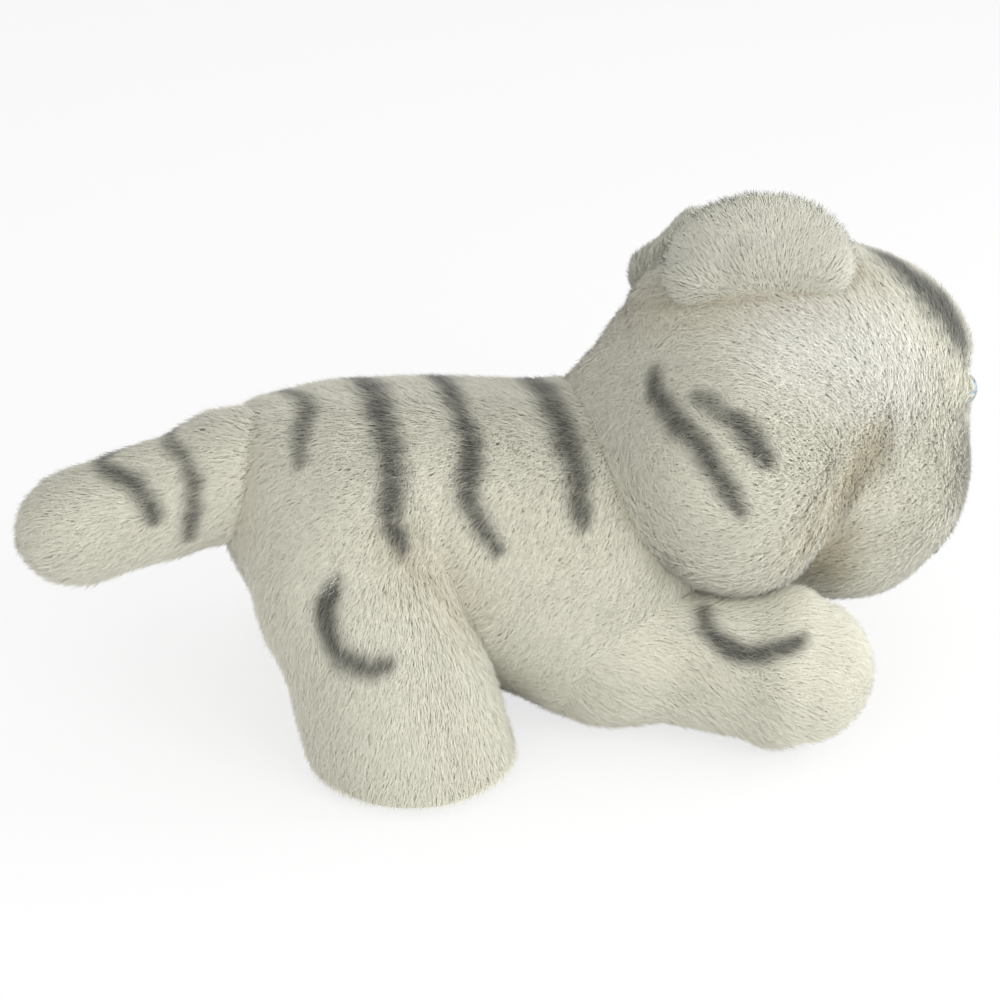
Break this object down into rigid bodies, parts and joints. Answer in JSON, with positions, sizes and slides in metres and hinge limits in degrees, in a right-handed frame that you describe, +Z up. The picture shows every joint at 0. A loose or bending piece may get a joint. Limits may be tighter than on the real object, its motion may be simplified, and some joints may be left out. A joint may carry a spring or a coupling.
{
  "type": "plush tiger",
  "caption": "Stuffed tiger cub toy with soft striped pile, lying on its belly with its head turned, front legs spread and tail out behind.",
  "frame": {"origin": "middle of the toy's box, on the floor under its belly", "axes": "+X towards the head, +Y to the toy's left, +Z up"},
  "size_m": [0.4006, 0.2108, 0.2068],
  "materials": {
    "fur_white": "matte",
    "ear_lining": "matte",
    "sole_cloth": "matte",
    "eye_plastic": "gloss",
    "nose_plastic": "satin",
    "washer_plastic": "matte"
  },
  "bodies": {
    "body": {"body": "fur_white"},
    "head": {"head": "fur_white", "muzzle": "fur_white", "chin": "fur_white", "nose": "nose_plastic", "nose_washer": "washer_plastic", "eye_left": "eye_plastic", "eye_right": "eye_plastic", "eye_washer_left": "washer_plastic", "eye_washer_right": "washer_plastic"},
    "ear_left": {"ear_left": "fur_white", "ear_lining_left": "ear_lining"},
    "ear_right": {"ear_right": "fur_white", "ear_lining_right": "ear_lining"},
    "tail": {"tail": "fur_white"},
    "front_leg_left": {"front_leg_left": "fur_white"},
    "front_leg_right": {"front_leg_right": "fur_white"},
    "hind_leg_left": {"hind_leg_left": "fur_white", "hind_sole_left": "sole_cloth"},
    "hind_leg_right": {"hind_leg_right": "fur_white", "hind_sole_right": "sole_cloth"}
  },
  "joints": [
    {"name": "head_turn", "type": "hinge", "parent": "body", "child": "head", "pos_m": [0.10061, 0, 0.1195], "axis": [0, 0, 1], "range_deg": [-10, 10], "stiffness_Nm_per_rad": 0.6},
    {"name": "tail_swing", "type": "hinge", "parent": "body", "child": "tail", "pos_m": [-0.11288, 0, 0.106], "axis": [0, 0, 1], "range_deg": [-25, 25], "stiffness_Nm_per_rad": 0.3},
    {"name": "ear_left_fold", "type": "hinge", "parent": "head", "child": "ear_left", "pos_m": [0.07388, 0.04602, 0.15505], "axis": [-0.5901, -0.6796, 0.4358], "range_deg": [0, 25], "stiffness_Nm_per_rad": 0.05},
    {"name": "ear_right_fold", "type": "hinge", "parent": "head", "child": "ear_right", "pos_m": [0.09792, -0.02434, 0.17863], "axis": [0.9371, -0.3358, -0.0956], "range_deg": [0, 25], "stiffness_Nm_per_rad": 0.05},
    {"name": "front_leg_left_spread", "type": "hinge", "parent": "body", "child": "front_leg_left", "pos_m": [0.02111, 0.046, 0.036], "axis": [0, 0, 1], "range_deg": [0, 22], "stiffness_Nm_per_rad": 0.5},
    {"name": "front_leg_right_spread", "type": "hinge", "parent": "body", "child": "front_leg_right", "pos_m": [0.02111, -0.046, 0.036], "axis": [0, 0, -1], "range_deg": [0, 22], "stiffness_Nm_per_rad": 0.5},
    {"name": "hind_leg_left_swing", "type": "hinge", "parent": "body", "child": "hind_leg_left", "pos_m": [-0.07588, 0.042, 0.071], "axis": [0, 1, 0], "range_deg": [0, 15], "stiffness_Nm_per_rad": 1},
    {"name": "hind_leg_right_swing", "type": "hinge", "parent": "body", "child": "hind_leg_right", "pos_m": [-0.07588, -0.042, 0.071], "axis": [0, 1, 0], "range_deg": [0, 15], "stiffness_Nm_per_rad": 1}
  ]
}
